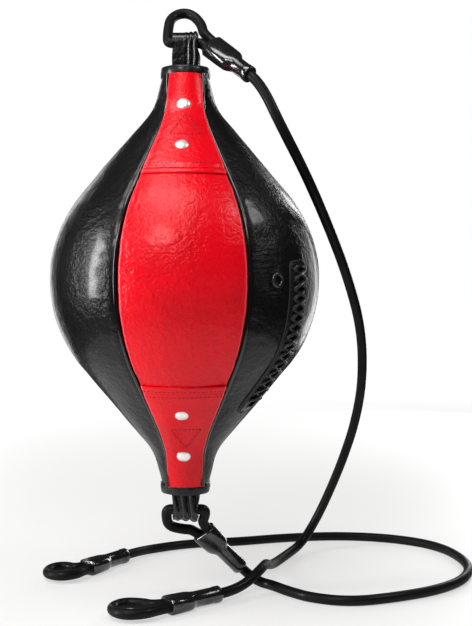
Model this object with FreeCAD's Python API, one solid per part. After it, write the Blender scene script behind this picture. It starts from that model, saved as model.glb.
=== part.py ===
"""Double-end punching ball on two elastic cords, in millimetres.

A four-panel leather ball with two narrow throats holds a rubber bladder. A folded hanger strap is
riveted in each throat. An elastic cord hooks through each strap by an eye, and ends in a second eye.
The origin is on the axis of the upper hanger's bore, where the ball hangs. +Z is up, the red front
panel faces -Y, and the lacing is on the +X side. The ball hangs above a floor that the cords lie on.
"""
import FreeCAD, Part
import math
import os

from FreeCAD import Placement, Rotation, Vector

# ---- the ball ----
BALL_RADIUS = 103.0
TOP_HANGER_HEIGHT = 185.0       # ball centre to the upper hanger's bore axis
BOTTOM_HANGER_DEPTH = 179.0     # ball centre to the lower hanger's bore axis
FLOOR_DEPTH = 251.0             # ball centre to the floor
MOUTH_HEIGHT = 163.5            # ball centre to the throat's rim
MOUTH_RADIUS = 18.7
FLANK_ANGLE = 40.0              # the flank's lean from the axis, degrees
THROAT_ANGLE = 8.3              # the throat's lean from the axis, degrees
THROAT_BEND_RADIUS = 40.0       # the hollow curve from flank to throat

# ---- walls and layers ----
LEATHER = 2.0
LINING = 1.0
BLADDER_WALL = 1.2
PATCH = 1.2
LAYER_GAP = 0.1                 # between layers that lie on each other
BLADDER_GAP = 0.3
FRONT_HALF_ANGLE = 27.5         # half the front and back panels' angle, degrees
SEAM_GAP_ANGLE = 0.15
PIPING_RADIUS = 1.2
PATCH_EDGE_ANGLE = 4.5          # from the seam to the patch's edge
PATCH_LOW = 75.5                # ball centre to the patch's cross seam
BINDING_HEIGHT = 6.5
BINDING_WALL = 1.5

# ---- hanger straps ----
CORD_DIAMETER = 8.0
HANGER_CLEARANCE = 0.8          # between an eye's cord and the strap round it
STRAP_WIDTH = 19.0
STRAP_WALL = 3.0
STRAP_STRAIGHT = 25.0           # from the bore axis down to where the tails spread
TAIL_END_HEIGHT = 92.0          # ball centre to the end of a tail
TAIL_GAP = 0.4

# ---- rivets ----
RIVET_CAP_RADIUS = 5.2
RIVET_CAP_HEIGHT = 2.0
RIVET_CAP_LIFT = 0.35           # clears the patch where the throat is hollow
RIVET_SHANK_RADIUS = 2.0
RIVET_CLEARANCE = 0.1
RIVET_BURR_RADIUS = 4.0
RIVET_BURR_HEIGHT = 1.0
THROAT_RIVET_SLOPE = 26.5       # the wall's slope where the outer rivet sits
FLANK_RIVET_HEIGHT = 97.0       # ball centre to the inner rivet

# ---- laced opening ----
LACE_AZIMUTH = 56.5             # from the front, towards +X
LACE_TOP = 14.0                 # above the ball's centre
LACE_BOTTOM = -98.0
LACE_HALF_ANGLE = 3.4
FACING_ANGLE = 3.2
FACING_WALL = 1.0
TONGUE_ANGLE = 2.6              # the tongue's and lining slit's reach past the opening
TONGUE_REACH = 5.0
LACE_RADIUS = 1.1
LACE_CROSSINGS = 11
LACE_END_GAP = 0.8

# ---- inflation valve ----
VALVE_AZIMUTH = 41.0
VALVE_RADIUS = 3.0
VALVE_LENGTH = 14.0
NEEDLE_HOLE_RADIUS = 0.8
NEEDLE_HOLE_DEPTH = 11.0
GROMMET_WALL = 1.0
GROMMET_FLANGE = 5.5
GROMMET_LIP = 0.8
VALVE_CLEARANCE = 0.1

# ---- cord ends ----
CORD_LEAD = 12.0                # the straight start at each clamp
CLAMP_LENGTH = 48.0
CLAMP_WIDTH = 19.4
CLAMP_THICKNESS = 13.0
CLAMP_END_RADIUS = 6.2
CLAMP_SHOULDER = 2.0
LONG_CLAMP_WIDE = 30.0          # the wide part of the upper cord's near clamp
SHORT_CLAMP_WIDE = 22.0         # the wide part of the three others
SLEEVE_CLEARANCE = 0.05
EYE_CLEARANCE = 1.0             # between an eye's strands and the strap's edges
CRIMP_WALL = 0.7
CRIMP_LENGTH = 8.0
CRIMP_INSET = 3.0
UPPER_EYE_TILT = 42.0           # the eye's plane from upright, its clamp towards the front
LOWER_EYE_TILT = 28.5           # the eye's plane from upright, its clamp towards the back

CORD_RADIUS = CORD_DIAMETER / 2
CRIMP_INNER = CORD_DIAMETER + 2 * SLEEVE_CLEARANCE
CRIMP_OUTER = CRIMP_INNER + 2 * CRIMP_WALL
EYE_HALF_WIDTH = STRAP_WIDTH / 2 + CORD_RADIUS + EYE_CLEARANCE
CENTRE = -TOP_HANGER_HEIGHT
LOWER_AXIS = CENTRE - BOTTOM_HANGER_DEPTH
FLOOR = CENTRE - FLOOR_DEPTH
LAID_CLAMP = FLOOR + CLAMP_THICKNESS / 2
Z_AXIS = Vector(0, 0, 1)


# ---- the ball's outline ----

def outline_arcs(inset):
    """Six points of the upper half outline, inset from the leather's outer face.

    They are the equator, the middle and end of the ball arc, the start, middle and end of the throat's
    hollow arc, and the mouth, each as (radius, height above the ball's centre)."""
    flank = math.radians(FLANK_ANGLE)
    throat = math.radians(THROAT_ANGLE)
    throat_reach = MOUTH_RADIUS * math.cos(throat) + MOUTH_HEIGHT * math.sin(throat)
    near = BALL_RADIUS + THROAT_BEND_RADIUS
    far = throat_reach + THROAT_BEND_RADIUS
    spread = math.sin(flank - throat)
    bend_r = (far * math.sin(flank) - near * math.sin(throat)) / spread
    bend_z = (near * math.cos(throat) - far * math.cos(flank)) / spread

    def on_ball(angle):
        radius = BALL_RADIUS - inset
        return radius * math.cos(angle), radius * math.sin(angle)

    def on_bend(angle):
        radius = THROAT_BEND_RADIUS + inset
        return bend_r - radius * math.cos(angle), bend_z - radius * math.sin(angle)

    mouth_r = (throat_reach - inset - MOUTH_HEIGHT * math.sin(throat)) / math.cos(throat)
    return [on_ball(0), on_ball(flank / 2), on_ball(flank),
            on_bend(flank), on_bend((flank + throat) / 2), on_bend(throat), (mouth_r, MOUTH_HEIGHT)]


def outline_edges(inset, sign):
    """The half outline as edges in the XZ plane, above the centre for sign 1 and below for sign -1."""
    points = [Vector(r, 0, CENTRE + sign * z) for r, z in outline_arcs(inset)]
    return [Part.Arc(*points[0:3]).toShape(),
            Part.LineSegment(points[2], points[3]).toShape(),
            Part.Arc(*points[3:6]).toShape(),
            Part.LineSegment(points[5], points[6]).toShape()]


def whole_outline(inset):
    """The outline from the lower mouth to the upper mouth."""
    lower = [edge.reversed() for edge in reversed(outline_edges(inset, -1))]
    return Part.Wire(lower + outline_edges(inset, 1))


def outline_radius(inset, height):
    """The outline's radius at a height above the ball's centre."""
    wire = Part.Wire(outline_edges(inset, 1))
    level = Part.LineSegment(Vector(0, 0, CENTRE + height), Vector(2 * BALL_RADIUS, 0, CENTRE + height))
    return wire.distToShape(level.toShape())[1][0][0].x


def wall_face(outer, inner, low=-MOUTH_HEIGHT, high=MOUTH_HEIGHT):
    """A layer's section in the XZ plane, from inset outer to inset inner, cut at two heights."""
    first = whole_outline(outer)
    second = whole_outline(inner)
    ends = []
    for sign in (-1, 1):
        a = outline_arcs(outer)[-1][0]
        b = outline_arcs(inner)[-1][0]
        height = CENTRE + sign * MOUTH_HEIGHT
        ends.append(Part.LineSegment(Vector(a, 0, height), Vector(b, 0, height)).toShape())
    face = Part.Face(Part.Wire(Part.__sortEdges__(first.Edges + second.Edges + ends)))
    if low > -MOUTH_HEIGHT or high < MOUTH_HEIGHT:
        band = Part.makePlane(high - low, 2 * BALL_RADIUS, Vector(0, 0, CENTRE + low),
                              Vector(0, 1, 0), Z_AXIS)
        face = face.common(band)
    return face


def turned(shape, azimuth):
    """A shape of the XZ plane, turned so that +X points to an azimuth from the front."""
    return shape.rotated(Vector(), Z_AXIS, azimuth - 90)


def gore(face, azimuth, half_angle):
    """A section spun about the ball's axis, to both sides of an azimuth."""
    solids = turned(face, azimuth - half_angle).revolve(Vector(), Z_AXIS, 2 * half_angle).Solids
    return solids[0] if len(solids) == 1 else Part.makeCompound(solids)


def outward(azimuth, slope=0.0, sign=1):
    """The unit vector that leaves the wall at an azimuth, where the wall's slope is slope."""
    a = math.radians(azimuth)
    s = math.radians(slope)
    return Vector(math.sin(a) * math.cos(s), -math.cos(a) * math.cos(s), sign * math.sin(s))


def wall_point(inset, azimuth, height):
    """The point of an inset outline at an azimuth and height."""
    flat = outward(azimuth) * outline_radius(inset, abs(height))
    return Vector(flat.x, flat.y, CENTRE + height)


# ---- tubes ----

def rounded_path(points):
    """Straight runs joined by tangent arcs, and the arcs' radii."""
    edges = []
    radii = []
    start = points[0]
    for before, corner, after in zip(points, points[1:], points[2:]):
        back = before - corner
        ahead = after - corner
        shorter = min(back.Length, ahead.Length)
        back.normalize()
        ahead.normalize()
        half_turn = (math.pi - back.getAngle(ahead)) / 2
        cut = 0.45 * shorter
        radius = cut / math.tan(half_turn)
        radii.append(radius)
        first = corner + back * cut
        last = corner + ahead * cut
        inward = back + ahead
        inward.normalize()
        middle = corner + inward * (radius / math.cos(half_turn) - radius)
        edges.append(Part.LineSegment(start, first).toShape())
        edges.append(Part.Arc(first, middle, last).toShape())
        start = last
    edges.append(Part.LineSegment(start, points[-1]).toShape())
    return Part.Wire(edges), radii


def tube(points, radius, name=None):
    """A round solid along a rounded path. A named one prints its length, radii and volume."""
    path, radii = rounded_path(points)
    ring = Part.Wire(Part.makeCircle(radius, points[0], points[1] - points[0]))
    solid = path.makePipeShell([ring], True, False)
    if name:
        section = math.pi * radius ** 2 * path.Length
        print(name, "length", round(path.Length, 1), "least radius", round(min(radii), 1),
              "radii", [round(r) for r in radii], "volume ratio", round(solid.Volume / section, 4))
    return solid


# ---- panels, lining and bladder ----

def round_hole(point, direction, radius, reach=30.0):
    """A cutter along a direction, to both sides of a point."""
    return Part.makeCylinder(radius, 2 * reach, point - direction * reach, direction)


def lace_window(outer, inner, extra_angle, extra_reach):
    """A wedge of wall round the laced opening, between two insets."""
    face = wall_face(outer, inner, LACE_BOTTOM - extra_reach, LACE_TOP + extra_reach)
    return gore(face, LACE_AZIMUTH, LACE_HALF_ANGLE + extra_angle)


def rivet_seats():
    """Each rivet's azimuth, sign, height above the centre, and wall slope."""
    seats = []
    for sign in (1, -1):
        for azimuth in (0, 180):
            throat = outline_arcs(0)
            flank = math.radians(FLANK_ANGLE)
            slope = math.radians(THROAT_RIVET_SLOPE)
            bend_top = throat[3][1] + THROAT_BEND_RADIUS * math.sin(flank)
            height = bend_top - THROAT_BEND_RADIUS * math.sin(slope)
            seats.append((sign, azimuth, height, THROAT_RIVET_SLOPE))
            seats.append((sign, azimuth, FLANK_RIVET_HEIGHT, FLANK_ANGLE))
    return seats


RIVET_SEATS = rivet_seats()


def rivet_holes():
    """Cutters for every rivet's shank."""
    cutters = []
    for sign, azimuth, height, slope in RIVET_SEATS:
        point = wall_point(0, azimuth, sign * height)
        cutters.append(round_hole(point, outward(azimuth, slope, sign), RIVET_SHANK_RADIUS + RIVET_CLEARANCE))
    return cutters


def red_panel(azimuth):
    face = wall_face(0, LEATHER)
    return gore(face, azimuth, FRONT_HALF_ANGLE - SEAM_GAP_ANGLE).cut(rivet_holes())


def black_panel(azimuth):
    face = wall_face(0, LEATHER)
    return gore(face, azimuth, 90 - FRONT_HALF_ANGLE - SEAM_GAP_ANGLE)


def laced_panel():
    """The +X panel, with the laced opening and the valve's hole."""
    opening = lace_window(-LEATHER, 2 * LEATHER, 0, 0)
    hole = round_hole(wall_point(0, VALVE_AZIMUTH, 0), outward(VALVE_AZIMUTH),
                      VALVE_RADIUS + GROMMET_WALL + 2 * VALVE_CLEARANCE)
    return black_panel(90).cut([opening, hole])


def throat_patch(azimuth, sign):
    low, high = PATCH_LOW, MOUTH_HEIGHT - BINDING_HEIGHT - LAYER_GAP
    if sign < 0:
        low, high = -high, -low
    face = wall_face(-LAYER_GAP - PATCH, -LAYER_GAP, low, high)
    return gore(face, azimuth, FRONT_HALF_ANGLE - PATCH_EDGE_ANGLE).cut(rivet_holes())


LINING_OUTER = LEATHER + LAYER_GAP
LINING_INNER = LINING_OUTER + LINING


def lining():
    """The cloth lining, slit behind the lacing and pierced for the valve and the rivets."""
    face = wall_face(LINING_OUTER, LINING_INNER)
    whole = turned(face, 0).revolve(Vector(), Z_AXIS, 360).Solids[0]
    slit = lace_window(0, 3 * LEATHER, TONGUE_ANGLE, TONGUE_REACH)
    hole = round_hole(wall_point(0, VALVE_AZIMUTH, 0), outward(VALVE_AZIMUTH),
                      VALVE_RADIUS + GROMMET_WALL + 2 * VALVE_CLEARANCE)
    return whole.cut([slit, hole] + rivet_holes())


def bladder():
    outer = BALL_RADIUS - LINING_INNER - BLADDER_GAP
    centre = Vector(0, 0, CENTRE)
    skin = Part.makeSphere(outer, centre).cut(Part.makeSphere(outer - BLADDER_WALL, centre))
    hole = Part.makeCylinder(VALVE_RADIUS + VALVE_CLEARANCE, 2 * BALL_RADIUS, centre,
                             outward(VALVE_AZIMUTH))
    return skin.cut(hole)


def piping(azimuth):
    """The round bead that covers one seam, from binding to binding."""
    path = Part.Wire(Part.__sortEdges__(whole_outline(-PIPING_RADIUS - LAYER_GAP).Edges))
    foot = path.Edges[0]
    start = foot.valueAt(foot.FirstParameter)
    ring = Part.Wire(Part.makeCircle(PIPING_RADIUS, start, foot.tangentAt(foot.FirstParameter)))
    bead = path.makePipeShell([ring], True, False)
    reach = MOUTH_HEIGHT - BINDING_HEIGHT - LAYER_GAP
    band = Part.makeCylinder(2 * BALL_RADIUS, 2 * reach, Vector(0, 0, CENTRE - reach))
    return turned(bead.common(band), azimuth)


def binding(sign):
    """The leather band folded over a throat's rim, outside, top and inside."""
    top = MOUTH_HEIGHT
    foot = MOUTH_HEIGHT - BINDING_HEIGHT
    outer = outline_radius(0, foot) + LAYER_GAP
    inner = outline_arcs(LINING_INNER)[-1][0] - LAYER_GAP

    def ring(big, small, low, high):
        hollow = Part.makeCylinder(small, high - low, Vector(0, 0, low))
        return Part.makeCylinder(big, high - low, Vector(0, 0, low)).cut(hollow)

    rim = top + LAYER_GAP
    outside = ring(outer + BINDING_WALL, outer, foot, rim)
    inside = ring(inner, inner - BINDING_WALL, foot, rim)
    cap = ring(outer + BINDING_WALL, inner - BINDING_WALL, rim, rim + BINDING_WALL)
    band = outside.fuse([inside, cap]).removeSplitter()
    if sign < 0:
        band = band.mirror(Vector(), Z_AXIS)
    return band.translated(Vector(0, 0, CENTRE))


# ---- hanger straps and rivets ----

def strap_band(points, wall):
    """A closed outline of a wall's thickness along points of the YZ plane, with mitred corners."""
    sides = ([], [])
    for i, point in enumerate(points):
        ways = []
        if i > 0:
            ways.append((point - points[i - 1]).normalize())
        if i < len(points) - 1:
            ways.append((points[i + 1] - point).normalize())
        normals = [Vector(0, way.z, -way.y) for way in ways]
        mean = sum(normals[1:], normals[0])
        mean.normalize()
        reach = wall / 2 / mean.dot(normals[0])
        sides[0].append(point + mean * reach)
        sides[1].append(point - mean * reach)
    ring = sides[0] + sides[1][::-1]
    return Part.Face(Part.makePolygon(ring + ring[:1]))


def tail_outer(height):
    """How far from the axis plane a flat tail may reach inside the lining at a height."""
    radius = outline_radius(LINING_INNER, height)
    return math.sqrt(radius ** 2 - (STRAP_WIDTH / 2) ** 2) - TAIL_GAP


def throat_corner_height():
    """Where the flank's and the throat's straight lines would meet."""
    arcs = outline_arcs(LINING_INNER)
    (r1, z1), (r2, z2) = arcs[2], arcs[3]
    (r3, z3), (r4, z4) = arcs[5], arcs[6]
    flank = (r2 - r1) / (z2 - z1)
    throat = (r4 - r3) / (z4 - z3)
    height = (r3 - r1 + flank * z1 - throat * z3) / (flank - throat)
    return height, r1 + flank * (height - z1)


def hanger(sign, axis_distance):
    """A strap folded over the bore axis, its two tails spread inside the throat."""
    bore = CORD_RADIUS + HANGER_CLEARANCE
    middle = bore + STRAP_WALL / 2
    height, radius = throat_corner_height()
    bend = math.sqrt(radius ** 2 - (STRAP_WIDTH / 2) ** 2) - TAIL_GAP - STRAP_WALL / 2
    low = tail_outer(TAIL_END_HEIGHT) - STRAP_WALL / 2 / math.cos(math.radians(FLANK_ANGLE))
    flank_run = [Vector(0, middle, axis_distance), Vector(0, middle, axis_distance - STRAP_STRAIGHT),
                 Vector(0, bend, height), Vector(0, low, TAIL_END_HEIGHT)]
    leg = strap_band(flank_run, STRAP_WALL).extrude(Vector(STRAP_WIDTH, 0, 0))
    leg = leg.translated(Vector(-STRAP_WIDTH / 2, 0, 0))
    pieces = [leg, leg.mirror(Vector(), Vector(0, 1, 0))]
    start = Vector(-STRAP_WIDTH / 2, 0, axis_distance)
    along = Vector(1, 0, 0)
    crown = Part.makeCylinder(bore + STRAP_WALL, STRAP_WIDTH, start, along)
    crown = crown.cut(Part.makeCylinder(bore, STRAP_WIDTH, start, along))
    half = Part.makeBox(STRAP_WIDTH, 4 * bore, 2 * bore,
                        Vector(-STRAP_WIDTH / 2, -2 * bore, axis_distance))
    strap = crown.common(half).fuse(pieces).removeSplitter()
    if sign < 0:
        strap = strap.mirror(Vector(), Z_AXIS)
    return strap.translated(Vector(0, 0, CENTRE)).cut(rivet_holes())


def rivet(sign, azimuth, height, slope):
    """A domed cap on the patch, a shank through every layer, and a flat burr inside the tail."""
    normal = outward(azimuth, slope, sign)
    seat = wall_point(0, azimuth, sign * height) + normal * (PATCH + LAYER_GAP + RIVET_CAP_LIFT)
    grip = rivet_grip(seat, normal, sign)
    rise = RIVET_CAP_HEIGHT
    sphere = (RIVET_CAP_RADIUS ** 2 + rise ** 2) / (2 * rise)
    half_arc = math.asin(RIVET_CAP_RADIUS / sphere) / 2
    shoulder = Vector(sphere * math.sin(half_arc), 0, rise - sphere + sphere * math.cos(half_arc))
    foot = -grip - RIVET_BURR_HEIGHT
    crown = Part.Arc(Vector(0, 0, rise), shoulder, Vector(RIVET_CAP_RADIUS, 0, 0)).toShape()
    rest = Part.makePolygon([
        Vector(RIVET_CAP_RADIUS, 0, 0), Vector(RIVET_SHANK_RADIUS, 0, 0),
        Vector(RIVET_SHANK_RADIUS, 0, -grip), Vector(RIVET_BURR_RADIUS, 0, -grip),
        Vector(RIVET_BURR_RADIUS, 0, foot), Vector(0, 0, foot), Vector(0, 0, rise)])
    section = Part.Face(Part.Wire([crown] + rest.Edges))
    solid = section.revolve(Vector(), Z_AXIS, 360).Solids[0]
    solid.Placement = Placement(seat, Rotation(Z_AXIS, normal))
    return solid


def rivet_grip(seat, normal, sign):
    """The depth from a rivet's seat to where its burr clears the tail's inner face."""
    strap = STRAPS[sign]
    burr_path = Part.makeCylinder(RIVET_BURR_RADIUS, 3 * STRAP_WIDTH, seat, normal * -1)
    reached = strap.common(burr_path)
    near = [s for s in reached.Solids if (s.CenterOfMass - seat).Length < STRAP_WIDTH]
    deepest = 0
    for solid in near:
        for vertex in solid.tessellate(0.1)[0]:
            deepest = max(deepest, (seat - vertex).dot(normal))
    return deepest + LAYER_GAP


def rivets(sign):
    return Part.makeCompound([rivet(*seat) for seat in RIVET_SEATS if seat[0] == sign])


# ---- laced opening ----

def facings():
    """The two leather strips that the lace pulls together, one each side of the opening."""
    face = wall_face(-LAYER_GAP - FACING_WALL, -LAYER_GAP, LACE_BOTTOM, LACE_TOP)
    offset = LACE_HALF_ANGLE + FACING_ANGLE / 2
    strips = [gore(face, LACE_AZIMUTH + side * offset, FACING_ANGLE / 2) for side in (-1, 1)]
    return Part.makeCompound(strips)


def tongue():
    edge = LAYER_GAP
    face = wall_face(LINING_OUTER, LINING_INNER,
                     LACE_BOTTOM - TONGUE_REACH + edge, LACE_TOP + TONGUE_REACH - edge)
    return gore(face, LACE_AZIMUTH, LACE_HALF_ANGLE + TONGUE_ANGLE - edge)


def lace():
    """Straight crossings of the lace, one after the other, slanting from side to side."""
    lift = -LAYER_GAP - FACING_WALL - 2 * LAYER_GAP - LACE_RADIUS
    reach = LACE_HALF_ANGLE + FACING_ANGLE / 2
    pitch = (LACE_TOP - LACE_BOTTOM - 4 * LACE_RADIUS) / LACE_CROSSINGS
    bars = []
    for i in range(LACE_CROSSINGS):
        side = 1 if i % 2 else -1
        top = LACE_TOP - 2 * LACE_RADIUS - i * pitch
        ends = []
        for height, way in ((top, side), (top - pitch, -side)):
            ends.append(wall_point(lift, LACE_AZIMUTH + way * reach, height))
        along = (ends[1] - ends[0]).normalize()
        start = ends[0] + along * (LACE_RADIUS + LACE_END_GAP)
        length = (ends[1] - ends[0]).Length - 2 * (LACE_RADIUS + LACE_END_GAP)
        bars.append(Part.makeCylinder(LACE_RADIUS, length, start, along))
    return Part.makeCompound(bars)


# ---- inflation valve ----

def valve_rings(rings):
    """Rings on the valve's axis, each as (radius, hole, inner depth, outer depth) from the leather."""
    normal = outward(VALVE_AZIMUTH)
    face = wall_point(0, VALVE_AZIMUTH, 0)
    pieces = []
    for radius, hole, low, high in rings:
        ring = Part.makeCylinder(radius, high - low, face + normal * low, normal)
        pieces.append(ring.cut(Part.makeCylinder(hole, high - low, face + normal * low, normal)))
    return pieces[0].fuse(pieces[1:]).removeSplitter()


def valve_grommet():
    neck = VALVE_RADIUS + GROMMET_WALL + VALVE_CLEARANCE
    hole = VALVE_RADIUS + VALVE_CLEARANCE
    return valve_rings([(neck, hole, -LINING_INNER, 0),
                        (GROMMET_FLANGE, hole, 0, GROMMET_LIP)])


def inflation_valve():
    normal = outward(VALVE_AZIMUTH)
    face = wall_point(0, VALVE_AZIMUTH, 0)
    body = Part.makeCylinder(VALVE_RADIUS, VALVE_LENGTH, face, normal * -1)
    needle = Part.makeCylinder(NEEDLE_HOLE_RADIUS, NEEDLE_HOLE_DEPTH, face, normal * -1)
    return body.cut(needle)


# ---- cord ends ----

class EyePlane:
    """The flat plane of an eye: u along one axis and v along another, from an origin."""

    def __init__(self, origin, u_axis, v_axis):
        self.origin = origin
        self.u = Vector(u_axis).normalize()
        self.v = Vector(v_axis).normalize()

    def at(self, u, v):
        return self.origin + self.u * u + self.v * v

    def way(self, u, v):
        return (self.u * u + self.v * v).normalize()


def clamp_legs(mouth, away, side):
    """Points on the two cord legs and the single cord inside a clamp.

    away points from the mouth into the clamp, and side across its two legs."""
    settle = CRIMP_INSET + CRIMP_LENGTH
    tail = [mouth + side * CORD_RADIUS + away * (settle + CORD_RADIUS)]
    live = [mouth - side * CORD_RADIUS + away * (settle + CORD_RADIUS),
            mouth + away * (settle + 2 * CORD_DIAMETER),
            mouth + away * CLAMP_LENGTH]
    return tail, live


def stadium(width, thickness, length, base, along, side):
    """A flat oval prism along a direction, wide across side."""
    thin = along.cross(side)
    half = (width - thickness) / 2
    a = base + side * half
    b = base - side * half
    round_a = Part.makeCylinder(thickness / 2, length, a, along)
    round_b = Part.makeCylinder(thickness / 2, length, b, along)
    corners = [a + thin * thickness / 2, b + thin * thickness / 2,
               b - thin * thickness / 2, a - thin * thickness / 2]
    slab = Part.Face(Part.makePolygon(corners + corners[:1])).extrude(along * length)
    return round_a.fuse([round_b, slab]).removeSplitter()


def crimp(mouth, away, side):
    """The steel band that holds the two legs, inside the clamp."""
    base = mouth + away * CRIMP_INSET
    band = stadium(CORD_DIAMETER + CRIMP_OUTER, CRIMP_OUTER, CRIMP_LENGTH, base, away, side)
    return band.cut(stadium(CORD_DIAMETER + CRIMP_INNER, CRIMP_INNER, CRIMP_LENGTH, base, away, side))


def clamp(mouth, away, side, wide):
    """The moulded sleeve: a flat oval over two legs, stepped to a round end over one."""
    oval = stadium(CLAMP_WIDTH, CLAMP_THICKNESS, wide, mouth, away, side)
    end = mouth + away * wide
    shoulder = [edge for edge in oval.Edges
                if all(abs((v.Point - end).dot(away)) < SLEEVE_CLEARANCE for v in edge.Vertexes)]
    oval = oval.makeFillet(CLAMP_SHOULDER, shoulder)
    inside = wide - 2 * CLAMP_SHOULDER
    round_end = Part.makeCylinder(CLAMP_END_RADIUS, CLAMP_LENGTH - inside, mouth + away * inside, away)
    body = oval.fuse(round_end).removeSplitter()
    outer = CRIMP_OUTER + 2 * SLEEVE_CLEARANCE
    pocket = stadium(CORD_DIAMETER + outer, outer, CRIMP_LENGTH + 2 * SLEEVE_CLEARANCE,
                     mouth + away * (CRIMP_INSET - SLEEVE_CLEARANCE), away, side)
    tail, live = clamp_legs(mouth, away, side)
    bore = CORD_RADIUS + SLEEVE_CLEARANCE
    tail_mouth = mouth + side * CORD_RADIUS - away
    tail_bore = Part.makeCylinder(bore, (tail[0] - tail_mouth).Length + SLEEVE_CLEARANCE, tail_mouth, away)
    live_bore = tube([mouth - side * CORD_RADIUS - away] + live[:-1] + [live[-1] + away], bore)
    return body.cut([pocket, tail_bore, live_bore])


class CordEnd:
    """An eye, its clamp and its crimp, in a plane. The clamp leans from the plane's u axis.

    tail_side is 1 or -1, the side of the clamp where the cord's tail is. Each lead is a straight
    stretch of cord outside the clamp's mouth, and loop is the rest of the eye between the leads."""

    def __init__(self, name, plane, mouth, lean, tail_side, wide, leads, loop):
        self.name = name
        self.wide = wide
        angle = math.radians(lean)
        self.mouth = plane.at(*mouth)
        self.away = plane.way(math.cos(angle), math.sin(angle))
        self.side = plane.way(-math.sin(angle), math.cos(angle)) * tail_side
        start = self.mouth + self.side * CORD_RADIUS - self.away * leads[0]
        finish = self.mouth - self.side * CORD_RADIUS - self.away * leads[1]
        self.loop = [start] + [plane.at(*point) for point in loop] + [finish]

    def exit(self):
        """Where the single cord leaves the clamp."""
        return self.mouth + self.away * CLAMP_LENGTH

    def lead_out(self):
        """The end of the cord's straight start at the clamp."""
        return self.exit() + self.away * CORD_LEAD

    def pieces(self):
        tail, live = clamp_legs(self.mouth, self.away, self.side)
        name = self.name + "_eye"
        return {name: tube(tail + self.loop + live, CORD_RADIUS, name),
                self.name + "_clamp": clamp(self.mouth, self.away, self.side, self.wide),
                self.name + "_crimp": crimp(self.mouth, self.away, self.side)}


def tilted_plane(height, tilt, way):
    """A plane through a hanger's bore axis, its v axis up for way 1 or down for -1."""
    angle = math.radians(tilt)
    return EyePlane(Vector(0, 0, height), (1, 0, 0), (0, math.sin(angle), way * math.cos(angle)))


LAID_PLANE = EyePlane(Vector(0, 0, LAID_CLAMP), (1, 0, 0), (0, 1, 0))
UPPER_NEAR = CordEnd(
    "upper_near", tilted_plane(0, UPPER_EYE_TILT, 1), (20.0, -4.0), -51.1, 1, LONG_CLAMP_WIDE, (15.0, 3.35),
    [(4.0, 41.0), (-11.5, 41.0), (-EYE_HALF_WIDTH, 9.0), (2.0 - EYE_HALF_WIDTH, 0.0),
     (EYE_HALF_WIDTH - 3.1, 0.0)])
UPPER_FAR = CordEnd(
    "upper_far", LAID_PLANE, (-12.4, -30.0), 36.87, -1, SHORT_CLAMP_WIDE, (7.0, 7.0),
    [(-28.0, -49.0), (-44.0, -51.0), (-55.0, -37.0), (-47.0, -23.0), (-32.0, -24.0)])
LOWER_NEAR = CordEnd(
    "lower_near", tilted_plane(LOWER_AXIS, LOWER_EYE_TILT, -1), (13.0, 22.0), 51.66, 1, SHORT_CLAMP_WIDE,
    (4.95, 6.4),
    [(-3.0, 19.5), (-EYE_HALF_WIDTH, 13.0), (-EYE_HALF_WIDTH, 0.0), (EYE_HALF_WIDTH + 1.1, 0.0)])
LOWER_FAR = CordEnd(
    "lower_far", LAID_PLANE, (-87.3, 72.0), 53.84, -1, SHORT_CLAMP_WIDE, (7.0, 7.0),
    [(-93.0, 52.5), (-105.0, 46.0), (-118.5, 53.5), (-119.0, 69.0), (-108.0, 78.0)])


# ---- cords: each route runs from its near clamp to its far clamp ----

def above_floor(x, y, gap=0.0):
    """A point of a cord's centre line, with a gap between the cord and the floor."""
    return Vector(x, y, FLOOR + CORD_RADIUS + gap)


UPPER_ROUTE = [
    Vector(73.0, -39.0, -71.0), Vector(92.0, -23.0, -104.0), Vector(112.0, 8.0, -142.0),
    Vector(130.0, 37.0, -181.0), Vector(145.0, 64.0, -225.0), Vector(149.5, 90.0, -271.0),
    above_floor(146.0, 115.0, 121.0), above_floor(137.0, 135.0, 84.0), above_floor(125.0, 152.0, 48.0),
    above_floor(113.0, 158.0, 21.0), above_floor(99.0, 146.0, 3.0), above_floor(84.0, 120.0),
    above_floor(71.0, 90.0), above_floor(66.0, 66.0, 7.0), above_floor(64.0, 48.0, 12.5),
    above_floor(59.0, 30.0, 12.5), above_floor(48.0, 16.0, 6.0),
]

LOWER_ROUTE = [
    above_floor(59.0, 37.0, 0.5), above_floor(69.0, 30.0), above_floor(80.0, 15.0),
    above_floor(98.0, -3.0), above_floor(128.0, -13.0), above_floor(165.0, -1.0),
    above_floor(203.0, 19.0), above_floor(231.0, 50.0), above_floor(243.0, 95.0),
    above_floor(230.0, 150.0), above_floor(192.0, 180.0), above_floor(140.0, 191.0),
    above_floor(85.0, 183.0), above_floor(40.0, 168.0), above_floor(-5.0, 161.0),
    above_floor(-37.0, 141.0, 0.5),
]


def cord(name, near, route, far):
    """A cord that leaves its near clamp, and enters its far one, along each clamp's own axis."""
    return tube([near.exit(), near.lead_out()] + route + [far.lead_out(), far.exit()], CORD_RADIUS, name)


# ---- the assembly ----

STRAPS = {1: hanger(1, TOP_HANGER_HEIGHT), -1: hanger(-1, BOTTOM_HANGER_DEPTH)}


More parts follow.
